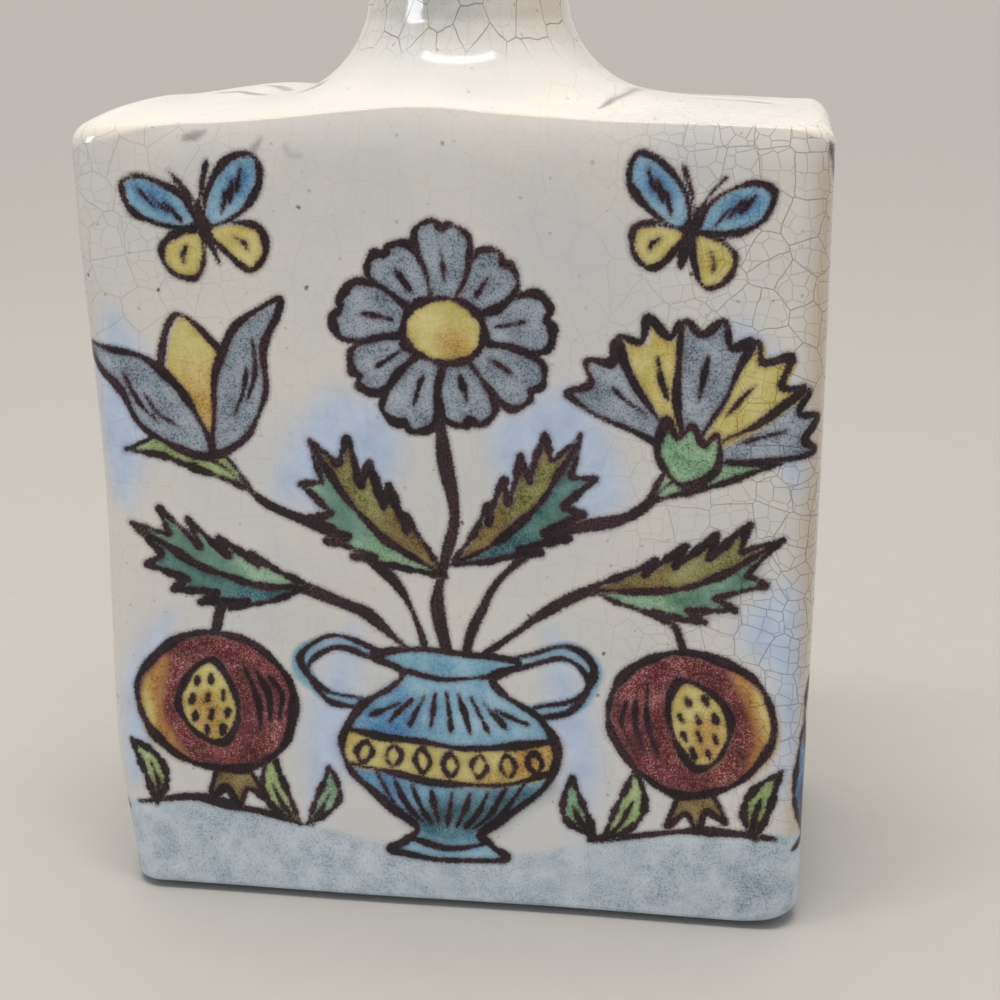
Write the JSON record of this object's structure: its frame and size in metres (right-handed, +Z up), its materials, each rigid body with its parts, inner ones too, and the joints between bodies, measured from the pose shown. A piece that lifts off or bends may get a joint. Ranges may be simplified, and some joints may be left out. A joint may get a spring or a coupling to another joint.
{
  "type": "slab-built bottle vase",
  "caption": "Flat rectangular bottle vase of slab-built earthenware with crackle glaze, painted sides, a flared round neck and an inset unglazed foot.",
  "frame": {"origin": "centre of the foot's underside, on the resting surface", "axes": "+Z up along the neck's axis; the painted front faces -Y; +X is to the right as the front is seen"},
  "size_m": [0.1, 0.05, 0.152],
  "materials": {
    "painted_glaze": "glossy crackle glaze over painting",
    "bare_clay": "bare fired earthenware"
  },
  "bodies": {
    "root": {"base_slab": "bare_clay", "front_wall": "painted_glaze", "back_wall": "painted_glaze", "left_wall": "painted_glaze", "right_wall": "painted_glaze", "shoulder_slab": "painted_glaze", "neck": "painted_glaze", "base_coil": "bare_clay", "front_left_coil": "bare_clay", "front_right_coil": "bare_clay", "back_left_coil": "bare_clay", "back_right_coil": "bare_clay", "neck_coil": "bare_clay"}
  },
  "joints": []
}
